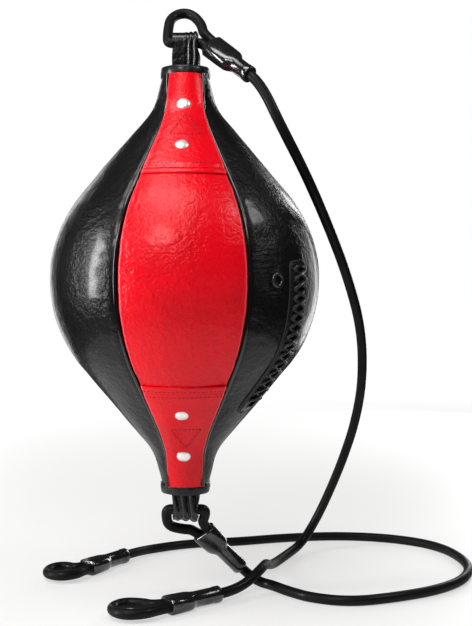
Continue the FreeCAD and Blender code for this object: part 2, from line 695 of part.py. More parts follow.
def all_pieces():
    pieces = {
        "front_panel": red_panel(0),
        "back_panel": red_panel(180),
        "left_panel": black_panel(270),
        "right_panel": laced_panel(),
        "lining": lining(),
        "bladder": bladder(),
        "inflation_valve": inflation_valve(),
        "valve_grommet": valve_grommet(),
        "lace_facings": facings(),
        "lace_tongue": tongue(),
        "lace": lace(),
        "top_hanger_strap": STRAPS[1],
        "bottom_hanger_strap": STRAPS[-1],
        "top_rivets": rivets(1),
        "bottom_rivets": rivets(-1),
        "top_binding": binding(1),
        "bottom_binding": binding(-1),
    }
    for azimuth, side in ((0, "front"), (180, "back")):
        for sign, level in ((1, "top"), (-1, "bottom")):
            pieces[side + "_" + level + "_patch"] = throat_patch(azimuth, sign)
    corners = {"front_right": FRONT_HALF_ANGLE, "back_right": 180 - FRONT_HALF_ANGLE,
               "back_left": 180 + FRONT_HALF_ANGLE, "front_left": -FRONT_HALF_ANGLE}
    for corner, azimuth in corners.items():
        pieces[corner + "_piping"] = piping(azimuth)
    for near, route, far, name in ((UPPER_NEAR, UPPER_ROUTE, UPPER_FAR, "upper_cord"),
                                   (LOWER_NEAR, LOWER_ROUTE, LOWER_FAR, "lower_cord")):
        pieces.update(near.pieces())
        pieces.update(far.pieces())
        pieces[name] = cord(name, near, route, far)
    return pieces


def export_all():
    os.makedirs("parts", exist_ok=True)
    for name, shape in all_pieces().items():
        solids = shape.Solids
        good = shape.isValid() and all(solid.isClosed() for solid in solids)
        print(name, len(solids), round(shape.Volume), "valid" if good else "NOT VALID")
        shape.exportStep("parts/" + name + ".step")


export_all()
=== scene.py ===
"""Double-end punching ball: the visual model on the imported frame, laid out as an add-on."""
import math

import bmesh
import bpy
from mathutils import Matrix, Vector, noise
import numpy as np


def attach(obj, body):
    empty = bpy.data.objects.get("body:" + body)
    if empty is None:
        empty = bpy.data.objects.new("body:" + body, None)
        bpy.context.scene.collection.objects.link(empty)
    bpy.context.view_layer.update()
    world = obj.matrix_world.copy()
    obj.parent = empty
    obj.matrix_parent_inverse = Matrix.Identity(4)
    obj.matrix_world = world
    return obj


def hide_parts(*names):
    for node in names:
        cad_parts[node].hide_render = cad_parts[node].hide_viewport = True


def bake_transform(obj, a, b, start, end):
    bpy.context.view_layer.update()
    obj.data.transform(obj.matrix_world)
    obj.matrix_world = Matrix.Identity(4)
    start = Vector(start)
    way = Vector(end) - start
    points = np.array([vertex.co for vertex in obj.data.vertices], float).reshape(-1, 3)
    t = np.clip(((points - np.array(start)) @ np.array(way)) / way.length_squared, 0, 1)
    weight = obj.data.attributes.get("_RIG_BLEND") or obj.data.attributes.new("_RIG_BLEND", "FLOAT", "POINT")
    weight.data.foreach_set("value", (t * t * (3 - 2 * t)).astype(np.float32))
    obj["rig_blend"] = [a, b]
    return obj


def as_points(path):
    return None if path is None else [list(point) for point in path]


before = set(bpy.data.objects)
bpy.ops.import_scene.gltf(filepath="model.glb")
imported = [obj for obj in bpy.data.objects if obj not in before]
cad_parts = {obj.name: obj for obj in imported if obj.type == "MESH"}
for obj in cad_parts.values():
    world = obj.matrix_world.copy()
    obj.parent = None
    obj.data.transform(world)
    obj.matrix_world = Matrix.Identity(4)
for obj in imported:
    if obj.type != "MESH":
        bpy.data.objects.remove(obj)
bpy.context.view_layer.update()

bl_info = {
    "name": "Double-End Punching Ball",
    "version": (1, 0, 0),
    "blender": (4, 5, 0),
    "location": "View3D > Sidebar > Ball",
    "description": "Builds a laced leather punching ball with its straps, cords and clamps",
    "category": "Object",
}

MM = 0.001

# ---- the object's own places, in metres ----
CENTRE = -0.185
LOWER_AXIS = -0.364
FLOOR = -0.436
LAID_CLAMP = FLOOR + 0.0065
RADIUS = 0.103
MOUTH = 0.1635
MOUTH_RADIUS = 0.0187
FLANK = math.radians(40.0)
THROAT = math.radians(8.3)
BEND = 0.04
SEAM = 26.5
TURN = 1.7


# ---- the ball's wall ----

def wall_section(height):
    """The wall's radius and the elevation of its normal, at a height from the ball's centre."""
    z = abs(height)
    reach = MOUTH_RADIUS * math.cos(THROAT) + MOUTH * math.sin(THROAT)
    near, far = RADIUS + BEND, reach + BEND
    spread = math.sin(FLANK - THROAT)
    bend_r = (far * math.sin(FLANK) - near * math.sin(THROAT)) / spread
    bend_z = (near * math.cos(THROAT) - far * math.cos(FLANK)) / spread
    if z <= RADIUS * math.sin(FLANK):
        lean = math.asin(z / RADIUS)
        radius = RADIUS * math.cos(lean)
    elif z <= bend_z - BEND * math.sin(FLANK):
        lean = FLANK
        radius = (RADIUS - z * math.sin(FLANK)) / math.cos(FLANK)
    elif z <= bend_z - BEND * math.sin(THROAT):
        lean = math.asin((bend_z - z) / BEND)
        radius = bend_r - BEND * math.cos(lean)
    else:
        lean = THROAT
        radius = (reach - z * math.sin(THROAT)) / math.cos(THROAT)
    return radius, math.copysign(lean, height)


def on_wall(azimuth, height, lift=0.0):
    """A point over the wall. The azimuth is in degrees from the front, towards +X."""
    radius, lean = wall_section(height)
    a = math.radians(azimuth)
    out = Vector((math.sin(a), -math.cos(a), 0.0))
    point = out * radius + Vector((0.0, 0.0, CENTRE + height))
    return point + (out * math.cos(lean) + Vector((0.0, 0.0, math.sin(lean)))) * lift


def seam_half(height):
    """Half the front panel's angle, in degrees. It widens in the throats."""
    return SEAM + 16.5 * ease(0.108, 0.168, abs(height))


def wall_seat(azimuth, height, lift):
    """The transform that stands a part, modelled round Z, upright on the wall."""
    out = (on_wall(azimuth, height, 0.01) - on_wall(azimuth, height)).normalized()
    turn = out.to_track_quat("Z", "Y").to_matrix().to_4x4()
    return Matrix.Translation(on_wall(azimuth, height, lift)) @ turn


def ease(low, high, value):
    """0 below low and 1 above high, smooth between."""
    t = min(1.0, max(0.0, (value - low) / (high - low)))
    return t * t * (3 - 2 * t)


def sway(point, scale, seed=0.0):
    """A smooth value from about -1 to 1 that wanders over space."""
    return noise.noise(Vector(point) * scale + Vector((seed, seed * 1.7, -seed)))


# ---- finishes ----

class Level:
    """A socket of a finish, so that shader maths reads as an expression."""

    def __init__(self, finish, socket):
        self.finish = finish
        self.socket = socket

    def maths(self, operation, *others):
        return self.finish.node("ShaderNodeMath", {"operation": operation},
                                dict(enumerate((self,) + others)))

    def __add__(self, other):
        return self.maths("ADD", other)

    def __sub__(self, other):
        return self.maths("SUBTRACT", other)

    def __mul__(self, other):
        return self.maths("MULTIPLY", other)

    def __rsub__(self, other):
        return self * -1.0 + other

    __radd__ = __add__
    __rmul__ = __mul__

    def between(self, low, high):
        """0 below low and 1 above high, smooth between."""
        return self.finish.node("ShaderNodeMapRange", {"interpolation_type": "SMOOTHSTEP"},
                                {"Value": self, "From Min": low, "From Max": high})


class Finish:
    """A procedural material under construction."""

    def __init__(self, name, **constants):
        self.material = bpy.data.materials.new(name)
        self.material.use_nodes = True
        self.tree = self.material.node_tree
        self.surface = next(n for n in self.tree.nodes if n.type == "BSDF_PRINCIPLED")
        for key, value in constants.items():
            self.surface.inputs[key.replace("_", " ")].default_value = value
        self.place = self.node("ShaderNodeTexCoord", out="Object")

    def node(self, kind, settings=None, sockets=None, out=0):
        node = self.tree.nodes.new(kind)
        for key, value in (settings or {}).items():
            setattr(node, key, value)
        for key, value in (sockets or {}).items():
            if isinstance(value, Level):
                self.tree.links.new(value.socket, node.inputs[key])
            else:
                node.inputs[key].default_value = value
        return Level(self, node.outputs[out])

    def noise(self, scale, detail=3.0, rough=0.5, stretch=None):
        vector = self.place
        if stretch:
            vector = self.node("ShaderNodeMapping", None, {"Vector": vector, "Scale": stretch})
        return self.node("ShaderNodeTexNoise", None,
                         {"Vector": vector, "Scale": scale, "Detail": detail, "Roughness": rough})

    def cells(self, scale, feature="F1"):
        return self.node("ShaderNodeTexVoronoi", {"feature": feature},
                         {"Vector": self.place, "Scale": scale}, "Distance")

    def bands(self, axis, scale, distortion=0.0):
        return self.node("ShaderNodeTexWave", {"bands_direction": axis},
                         {"Vector": self.place, "Scale": scale, "Distortion": distortion}, "Fac")

    def near(self, point, inner, outer):
        """1 within inner of a point and 0 beyond outer."""
        gap = self.node("ShaderNodeVectorMath", {"operation": "DISTANCE"},
                        {0: self.place, 1: point}, "Value")
        return 1 - gap.between(inner, outer)

    def mix(self, share, first, second):
        """The first colour where share is 0 and the second where it is 1."""
        colours = [value if isinstance(value, Level) else (*value, 1.0) for value in (first, second)]
        return self.node("ShaderNodeMix", {"data_type": "RGBA"}, {0: share, 6: colours[0], 7: colours[1]}, 2)

    def feed(self, socket, level):
        self.tree.links.new(level.socket, self.surface.inputs[socket])

    def bump(self, height, depth):
        """Raises the surface by height times depth, over any bump already there."""
        sockets = {"Height": height, "Distance": depth, "Strength": 1.0}
        linked = self.surface.inputs["Normal"].links
        if linked:
            sockets["Normal"] = Level(self, linked[0].from_socket)
        self.feed("Normal", self.node("ShaderNodeBump", None, sockets))


def leather(name, colour, deep, polish, grain, creases=(), seam=True, gloss=0.3, painted_highlight=None):
    """Coated leather: pebbled grain, a broken sheen, painted shade darkening the seams, a painted highlight
    line beside them when its colour is given, and creases round given places.
    """
    skin = Finish(name, IOR=1.36, Specular_IOR_Level=0.3, Coat_Roughness=0.14, Coat_IOR=1.5)
    pebble = skin.cells(620.0, "SMOOTH_F1")
    fine = skin.noise(1500.0, 2.0)
    peel = skin.noise(210.0, 3.0, 0.6)
    broad = skin.noise(22.0, 2.0)
    tone = skin.mix(broad.between(0.35, 0.75) * 0.5, colour, deep)
    if seam:
        edge = skin.node("ShaderNodeAttribute", {"attribute_name": "seam"}, out="Fac")
        # painted highlight: a pale line just inside each seam, in the given highlight colour, stands in for
        # light caught by the rolled edge
        if painted_highlight:
            line = edge.between(0.925, 0.945) * (1 - edge.between(0.945, 0.975))
            tone = skin.mix(line * (0.4 + 0.5 * broad), tone, painted_highlight)
        # painted shade: the colour darkens into the groove along each seam
        tone = skin.mix(edge.between(0.965, 1.0) * 0.85, tone, [c * 0.25 for c in deep])
        pucker = skin.noise(1.0, 3.0, 0.6, stretch=(60.0, 60.0, 420.0))
        skin.bump(pucker * edge.between(0.84, 0.98), 0.0006)
    skin.feed("Base Color", tone)
    skin.feed("Roughness", broad * 0.08 + peel * 0.12 + fine * 0.06 + (polish - 0.1))
    skin.feed("Coat Weight", (1.25 - peel * 0.9) * gloss)
    skin.bump(peel, grain * 0.0011)
    skin.bump(pebble * 0.7 + fine * 0.3, grain * 0.00042)
    folds = skin.noise(1.0, 3.0, 0.6, stretch=(75.0, 75.0, 330.0))
    for point, inner, outer, depth in creases:
        skin.bump(folds * skin.near(point, inner, outer), depth)
    return skin.material


def rubber(name, colour, polish):
    """Smooth extruded rubber with faint draw marks and dust."""
    skin = Finish(name, IOR=1.45, Specular_IOR_Level=0.15, Coat_Roughness=0.2)
    dust = skin.noise(900.0, 4.0, 0.7)
    patch = skin.noise(35.0, 2.0)
    dusty = [c * 2.2 + 0.01 for c in colour]
    skin.feed("Base Color", skin.mix(dust.between(0.6, 0.8) * 0.35, colour, dusty))
    skin.feed("Roughness", patch * 0.12 + dust * 0.1 + (polish - 0.1))
    skin.feed("Coat Weight", patch.between(0.3, 0.7) * 0.15)
    skin.bump(dust, 0.00006)
    skin.bump(patch, 0.0004)
    return skin.material


def moulded(name, colour, polish):
    """Glossy moulded plastic with a fine spark-eroded grain and flow marks."""
    skin = Finish(name, IOR=1.5, Coat_Roughness=0.06)
    grain = skin.cells(1300.0)
    flow = skin.noise(60.0, 3.0, 0.55, stretch=(1.0, 1.0, 2.4))
    skin.feed("Base Color", skin.mix(flow, colour, [c * 1.8 for c in colour]))
    skin.feed("Roughness", flow * 0.14 + grain * 0.08 + (polish - 0.08))
    skin.feed("Coat Weight", flow.between(0.3, 0.65) * 0.9)
    skin.bump(grain, 0.00005)
    skin.bump(flow, 0.0003)
    return skin.material


def nickel(name, colour, polish):
    """Plated metal with hammer facets, brush marks and a little tarnish."""
    skin = Finish(name, Metallic=0.75)
    facet = skin.cells(420.0, "SMOOTH_F1")
    brush = skin.noise(1.0, 2.0, 0.6, stretch=(900.0, 900.0, 3500.0))
    tarnish = skin.noise(240.0, 4.0, 0.7)
    dull = [c * 0.62 for c in colour]
    skin.feed("Base Color", skin.mix(tarnish.between(0.5, 0.8) * 0.5, colour, dull))
    skin.feed("Roughness", brush * 0.12 + tarnish * 0.18 + (polish - 0.1))
    skin.bump(facet, 0.00035)
    skin.bump(brush, 0.00002)
    return skin.material


def cloth(name, colour, scale):
    """A plain weave of two threads, with slubs."""
    skin = Finish(name, Roughness=0.85, Sheen_Weight=0.2)
    over = skin.bands("X", scale, 0.6) * skin.bands("Z", scale, 0.6)
    slub = skin.noise(scale * 1.5, 3.0)
    shade, light = [c * 0.5 for c in colour], [c * 1.3 for c in colour]
    skin.feed("Base Color", skin.mix(over * 0.6 + slub * 0.3, shade, light))
    skin.feed("Roughness", slub * 0.2 + 0.7)
    skin.bump(over + slub * 0.4, 0.00025)
    return skin.material


def thread(name, colour, polish=0.45):
    """Waxed twisted thread or lace."""
    skin = Finish(name, IOR=1.5)
    twist = skin.bands("DIAGONAL", 420.0, 1.2)
    fibre = skin.noise(2600.0, 3.0, 0.7)
    skin.feed("Base Color", skin.mix(twist * 0.7 + fibre * 0.3, [c * 0.45 for c in colour], colour))
    skin.feed("Roughness", fibre * 0.3 + (polish - 0.15))
    skin.bump(twist * 0.8 + fibre * 0.4, 0.00022)
    return skin.material


FINISHES = {}


def finishes(look):
    """Every finish of the object, made once from the add-on's colours."""
    if FINISHES:
        return FINISHES
    red, black = list(look.red), list(look.black)
    dark_red = [c * 0.62 for c in red]
    deep = [c * 0.5 for c in black]
    faded, pale_black = [c * 1.5 for c in black], [c * 1.6 for c in black]
    # painted highlight: the pale pink of the line that stands in for light on the red panels' rolled seam
    # edges
    edge_highlight_pink = (0.85, 0.1, 0.13)
    side = [((-0.055, -0.075, CENTRE + 0.052), 0.012, 0.05, 0.0009),
            ((0.064, -0.08, CENTRE + 0.006), 0.007, 0.026, 0.0036),
            ((-0.02, 0.0, CENTRE + 0.15), 0.01, 0.04, 0.0007),
            ((0.02, 0.0, CENTRE + 0.15), 0.01, 0.04, 0.0007)]
    FINISHES.update({
        "red_panel": leather("Red Coated Leather", red, dark_red, 0.23, look.grain, gloss=0.1, painted_highlight=edge_highlight_pink),
        "red_patch": leather("Red Patch Leather", red, dark_red, 0.22, look.grain * 0.6, gloss=0.12,
                             painted_highlight=edge_highlight_pink),
        "black_panel": leather("Black Coated Leather", black, deep, 0.3, look.grain, side),
        "facing": leather("Black Facing Leather", pale_black, black, 0.34, look.grain, seam=False),
        "binding": leather("Black Binding Leather", faded, black, 0.36, look.grain, seam=False),
        "strap": leather("Black Strap Leather", black, deep, 0.2, look.grain * 0.7, seam=False, gloss=0.7),
        "piping": leather("Black Piping Leather", black, deep, 0.14, look.grain * 0.4, seam=False, gloss=1.0),
        "cord": rubber("Black Elastic Cord", [0.003, 0.003, 0.003], 0.6),
        "bladder": rubber("Bladder Rubber", [0.03, 0.028, 0.027], 0.6),
        "valve": rubber("Valve Rubber", [0.012, 0.012, 0.012], 0.42),
        "clamp": moulded("Black Moulded Plastic", [0.006, 0.006, 0.0065], 0.16),
        "grommet": moulded("Black Grommet Plastic", [0.016, 0.016, 0.017], 0.16),
        "nickel": nickel("Nickel Plate", [0.92, 0.88, 0.85], 0.3),
        "steel": nickel("Brushed Steel", [0.5, 0.5, 0.51], 0.34),
        "lining": cloth("Lining Cloth", [0.06, 0.06, 0.065], 420.0),
        "red_thread": thread("Dark Red Thread", [0.13, 0.003, 0.006]),
        "black_thread": thread("Black Thread", [0.03, 0.03, 0.03]),
        "lace": thread("Black Waxed Lace", [0.022, 0.022, 0.023], 0.38),
    })
    return FINISHES


# ---- piece helpers ----

def grid_shell(columns, rows, place, keep=None):
    """A bmesh grid whose points go where place(u, v) says. u and v run from -1 to 1."""
    bm = bmesh.new()
    bmesh.ops.create_grid(bm, x_segments=columns, y_segments=rows, size=1.0)
    seam = bm.verts.layers.float.new("seam")
    if keep:
        dropped = [f for f in bm.faces if not keep(*f.calc_center_median()[:2])]
        bmesh.ops.delete(bm, geom=dropped, context="FACES")
    for vert in bm.verts:
        vert[seam] = abs(vert.co.x)
        vert.co = place(vert.co.x, vert.co.y)
    bm.normal_update()
    return bm


def outwards(bm, centre=None):
    """Turns the faces of an open shell away from the ball's axis, or from a centre."""
    bm.normal_update()
    vote = 0.0
    for face in bm.faces:
        middle = face.calc_center_median()
        away = middle - centre if centre else Vector((middle.x, middle.y, 0.0))
        vote += face.normal.dot(away) * face.calc_area()
    if vote < 0:
        bmesh.ops.reverse_faces(bm, faces=bm.faces)
    bm.normal_update()


def thicken(bm, depth):
    """Gives an open shell a wall behind its outer face."""
    outer = list(bm.faces)
    bmesh.ops.solidify(bm, geom=outer, thickness=depth)
    bmesh.ops.recalc_face_normals(bm, faces=bm.faces)


def finish_piece(name, bm, finish, body, replaces=()):
    """Turns a bmesh into a piece that rides a body."""
    mesh = bpy.data.meshes.new(name)
    bm.to_mesh(mesh)
    bm.free()
    return finish_mesh(name, mesh, finish, body, replaces)


def finish_mesh(name, mesh, finish, body, replaces=()):
    """Turns a mesh into a piece. Without a body, the caller places it."""
    piece = bpy.data.objects.new(name, mesh)
    bpy.context.scene.collection.objects.link(piece)
    mesh.materials.clear()
    mesh.materials.append(finish)
    mesh.polygons.foreach_set("use_smooth", [True] * len(mesh.polygons))
    if replaces:
        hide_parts(*replaces)
    if body:
        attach(piece, body)
    return piece


def dress_node(name, finish):
    """A CAD node that stays as it is, with a finish of its own."""
    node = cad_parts[name]
    for slot in node.material_slots:
        slot.material = finish


def curve_line(name, points, radius=0.0, smooth=True, closed=False, sides=6):
    """A curve through or along points, and its mesh: a tube of a radius, or the bare line."""
    data = bpy.data.curves.new(name, "CURVE")
    data.dimensions = "3D"
    data.resolution_u = 8
    data.bevel_depth = radius
    data.bevel_resolution = sides
    data.use_fill_caps = True
    spline = data.splines.new("NURBS" if smooth else "POLY")
    spline.points.add(len(points) - 1)
    for spot, point in zip(spline.points, points):
        spot.co = (*point, 1.0)
    if smooth:
        spline.order_u = 3
        spline.use_endpoint_u = not closed
    spline.use_cyclic_u = closed
    holder = bpy.data.objects.new(name + "_line", data)
    bpy.context.scene.collection.objects.link(holder)
    bpy.context.view_layer.update()
    mesh = bpy.data.meshes.new_from_object(holder)
    bpy.data.objects.remove(holder)
    return mesh


def stitch(bm, first, last, radius):
    """One raised stitch between two points."""
    along = last - first
    turn = along.to_track_quat("Z", "Y").to_matrix().to_4x4()
    size = Matrix.Diagonal((radius, radius, along.length / 2, 1.0))
    bmesh.ops.create_icosphere(bm, subdivisions=1, radius=1.0,
                               matrix=Matrix.Translation((first + last) / 2) @ turn @ size)


def stitch_row(bm, path, length, radius, gap=0.35):
    """Stitches along a path, which is a function of 0 to 1 with an even pace."""
    steps = 60
    total = sum((path((i + 1) / steps) - path(i / steps)).length for i in range(steps))
    count = max(1, round(total / (length * (1 + gap))))
    for i in range(count):
        stitch(bm, path((i + gap / 2) / count), path((i + 1 - gap / 2) / count), radius)


# ---- pieces of the ball ----

def swell(azimuth, height, share, seed, roll=0.0):
    """How far inflated leather stands off the plain outline, between two seams."""
    crown = 0.0011 * (1 - share ** 4) * ease(-0.16, -0.1, -abs(height))
    valley = -0.0016 * ease(0.95, 1.0, share) + roll * math.exp(-((share - 0.945) / 0.03) ** 2)
    point = on_wall(azimuth, height)
    pucker = 0.0005 * sway((azimuth / 9, height * 190, seed), 1.0) * ease(0.8, 0.97, share)
    wander = 0.0005 * sway(point, 28.0, seed) + 0.00022 * sway(point, 85.0, seed + 3)
    return crown + valley + wander + pucker - 0.0014 * ease(0.14, MOUTH, abs(height))


def gore(side, seed, keep=None, roll=0.0):
    """One leather panel between two seams, from rim to rim. The side is front, right, back or left."""
    def place(u, v):
        share = math.sin(u * math.pi / 2)
        height = v * (MOUTH - 0.0005)
        middle, half = gore_span(side, height)
        azimuth = middle + half * share
        return on_wall(azimuth, height, swell(azimuth, height, abs(share), seed, roll))

    bm = grid_shell(46, 190, place, keep)
    seam = bm.verts.layers.float["seam"]
    for vert in bm.verts:
        vert[seam] = math.sin(vert[seam] * math.pi / 2)
    outwards(bm)
    thicken(bm, 0.0012)
    return bm


def gore_span(side, height):
    """A panel's middle azimuth and half angle at a height."""
    half = seam_half(height)
    if side in ("front", "back"):
        return (TURN if side == "front" else 180 + TURN), half
    return (90 + TURN if side == "right" else 270 + TURN), 90 - half


RIVET_HEIGHTS = (0.13174, 0.097)
VALVE_AZIMUTH = 41.0
LACE_TOP = 0.0138
LACE_BOTTOM = -0.0985
SLOT_HALF = 0.0042
FACING_HALF = 0.0100


def lace_azimuth(height):
    """The laced opening leans back as it goes down."""
    return 54.3 + 5.0 * ease(0.0, 0.1, -height)


def lace_degrees(height, reach):
    """A reach along the wall, as degrees at a height."""
    return math.degrees(reach / wall_section(height)[0])


def outside_slot(u, v):
    """False on the faces of the right panel that the laced opening removes."""
    height = v * (MOUTH - 0.0005)
    middle, half = gore_span("right", height)
    azimuth = middle + half * math.sin(u * math.pi / 2)
    inside = abs(azimuth - lace_azimuth(height)) < lace_degrees(height, SLOT_HALF + 0.0015)
    return not (inside and LACE_BOTTOM + 0.006 < height < LACE_TOP - 0.006)


def facing_half(height, inset=0.0):
    """The half width of the strip with rounded ends round the laced opening."""
    corner = 0.0075
    reach = min(LACE_TOP - inset - height, height - LACE_BOTTOM - inset)
    if reach >= corner:
        return FACING_HALF - inset
    t = 1 - max(0.0, reach) / corner
    return (FACING_HALF - inset) * (0.45 + 0.55 * math.sqrt(max(0.0, 1 - t * t)))


def on_facing(share, height, lift, inset=0.0):
    """A point over the facing, a share of its half width from its middle."""
    turn = lace_degrees(height, facing_half(height, inset) * share)
    return on_wall(lace_azimuth(height) + turn, height, lift)


def facing_mesh():
    """The raised leather border of the laced opening, with a window for the lace."""
    middle, reach = (LACE_TOP + LACE_BOTTOM) / 2, (LACE_TOP - LACE_BOTTOM) / 2

    def place(u, v):
        share = math.copysign(abs(u) ** 0.8, u)
        lift = 0.0012 + 0.0011 * (1 - ease(0.86, 1.0, max(abs(u), abs(v) ** 1.5)))
        lip = 0.0006 * (1 - ease(0.42, 0.56, abs(share))) * (1 - ease(0.85, 0.93, abs(v)))
        return on_facing(share, middle + v * reach, lift + lip + 0.00025 * sway((u * 2, v * 9, 0.0), 2.0, 5))

    bm = grid_shell(28, 110, place, lambda u, v: abs(u) ** 0.8 > 0.42 or abs(v) > 0.9)
    outwards(bm)
    thicken(bm, 0.0009)
    return bm


def facing_edge(inset, lift):
    """The outline of the facing, as a path of 0 to 1."""
    middle, reach = (LACE_TOP + LACE_BOTTOM) / 2, (LACE_TOP - LACE_BOTTOM) / 2 - inset

    def path(t):
        side = 1 if t < 0.5 else -1
        v = 1 - 4 * t if t < 0.5 else 4 * t - 3
        return on_facing(side, middle + v * reach, lift, inset)
    return path


PATCH_LOW = 0.0752


def patch_stand(azimuth, height, share):
    """How far a patch's outer face stands off the plain outline."""
    taper = ease(-MOUTH + 0.004, -0.135, -abs(height))
    up = abs(height) - PATCH_LOW
    lift = 0.0004 + 0.0018 * taper - 0.0008 * math.exp(-((up - 0.0042) / 0.0014) ** 2)
    edge = 0.0009 * (1 - ease(0.0, 0.003, up)) + 0.0012 * ease(0.96, 1.0, abs(share))
    return lift - edge + 0.6 * swell(azimuth, height, min(0.95, abs(share)), 4.0, 0.0004)


def patch(azimuth, sign):
    """The reinforcing patch of one throat, down to its cross seam."""
    high = MOUTH - 0.0052

    def place(u, v):
        share = math.sin(u * math.pi / 2)
        height = sign * (PATCH_LOW + (high - PATCH_LOW) * (v + 1) / 2)
        turn = azimuth + (seam_half(height) - 0.6) * share
        return on_wall(turn, height, patch_stand(turn, height, share))

    bm = grid_shell(36, 90, place)
    seam = bm.verts.layers.float["seam"]
    for vert in bm.verts:
        vert[seam] = math.sin(vert[seam] * math.pi / 2)
    outwards(bm)
    thicken(bm, 0.0012)
    return bm


def patch_stitches(bm, azimuth, sign):
    """Two rows along the cross seam, and a stitched triangle between the rivets."""
    def stitched(turn, height):
        share = turn / seam_half(height)
        return on_wall(azimuth + turn, height, patch_stand(azimuth + turn, height, share) + 0.0001)

    for rise in (0.0034, 0.0072):
        stitch_row(bm, lambda t: stitched((SEAM - 1.5) * (2 * t - 1), sign * (PATCH_LOW + rise)),
                   0.0022, 0.00034, 0.4)
    corners = [(0.8, 0.1225), (-10.5, 0.1055), (11.5, 0.1055)]
    if sign < 0:
        corners = [(0.8, -0.1235), (-9.5, -0.1085), (12.0, -0.1085)]
    for (x0, h0), (x1, h1) in zip(corners, corners[1:] + corners[:1]):
        def line(t):
            x, height = x0 + (x1 - x0) * t, h0 + (h1 - h0) * t
            return stitched(math.degrees(x * MM / wall_section(height)[0]), height)
        stitch_row(bm, line, 0.0021, 0.00038, 0.25)


def bead(corner):
    """The glossy bead along one seam. The corner is a pair of signs: front, right."""
    front, right = corner
    rows = 170
    points = []
    for i in range(rows + 1):
        height = (2 * i / rows - 1) * (MOUTH - 0.0055)
        half = seam_half(height) + 0.7
        azimuth = TURN + (half if front > 0 else 180 - half) * right
        wobble = 0.35 * sway((azimuth, height * 120, 0.0), 1.0, 2) * ease(0.06, 0.13, abs(height))
        stand = 0.0003 + 0.0007 * ease(0.06, 0.13, abs(height)) - 0.0004 * ease(0.15, MOUTH, abs(height))
        points.append(on_wall(azimuth + wobble, height, stand))
    return points


def binding_shape(sign):
    """The folded band round one rim: outside, over the top and inside."""
    foot, rim = MOUTH - 0.0062, MOUTH + 0.0012
    outer = MOUTH_RADIUS - 0.0008
    inner = 0.0139
    outline = [(outer + 0.0009, foot - 0.0002), (outer + 0.0009, foot + 0.003),
               (outer + 0.0003, rim - 0.0014),
               (outer - 0.0006, rim), (inner + 0.001, rim), (inner, rim - 0.001), (inner, foot + 0.001),
               (inner + 0.0009, foot), (outer - 0.0018, foot - 0.0004), (outer + 0.0001, foot - 0.0009)]
    bm = bmesh.new()
    ring = [bm.verts.new((radius, 0.0, height)) for radius, height in outline]
    edges = [bm.edges.new((ring[i - 1], ring[i])) for i in range(len(ring))]
    bmesh.ops.subdivide_edges(bm, edges=edges, cuts=1)
    bmesh.ops.spin(bm, geom=bm.verts[:] + bm.edges[:], cent=(0, 0, 0), axis=(0, 0, 1),
                   angle=2 * math.pi, steps=96, use_merge=True)
    bmesh.ops.remove_doubles(bm, verts=bm.verts, dist=1e-6)
    for vert in bm.verts:
        out = Vector((vert.co.x, vert.co.y, 0.0))
        side = abs(vert.co.x) / out.length
        outer_part = ease(0.016, 0.0185, out.length)
        ripple = 0.00035 * sway(vert.co, 190.0, 4) + 0.0004 * sway(vert.co, 70.0, 8)
        vert.co += out.normalized() * ripple * outer_part
        vert.co.z += 0.0014 * side ** 10 * outer_part * ease(foot, rim, vert.co.z)
        vert.co.x *= 1 + 0.02 * outer_part * side
    if sign < 0:
        bmesh.ops.scale(bm, vec=(1, 1, -1), verts=bm.verts)
    bmesh.ops.translate(bm, vec=(0, 0, CENTRE), verts=bm.verts)
    bmesh.ops.recalc_face_normals(bm, faces=bm.faces)
    return bm


def rivet_cap(bm, azimuth, height):
    """One domed cap with a rolled rim and shallow dents."""
    outline = [(0.0, 0.00215), (0.0016, 0.00215), (0.0034, 0.0018), (0.0046, 0.0012), (0.0053, 0.0005),
               (0.0053, -0.0003), (0.0045, -0.0004)]
    part = bmesh.new()
    verts = [part.verts.new((radius, 0.0, z)) for radius, z in outline]
    for first, last in zip(verts, verts[1:]):
        part.edges.new((first, last))
    bmesh.ops.spin(part, geom=part.verts[:] + part.edges[:], cent=(0, 0, 0), axis=(0, 0, 1),
                   angle=2 * math.pi, steps=32, use_merge=True)
    bmesh.ops.remove_doubles(part, verts=part.verts, dist=1e-6)
    for vert in part.verts:
        vert.co.z += 0.0003 * sway(vert.co, 420.0, height * 100 + azimuth)
    bmesh.ops.recalc_face_normals(part, faces=part.faces)
    bmesh.ops.transform(part, matrix=wall_seat(azimuth, height, 0.00168), verts=part.verts)
    mesh = bpy.data.meshes.new("cap")
    part.to_mesh(mesh)
    part.free()
    bm.from_mesh(mesh)
    bpy.data.meshes.remove(mesh)


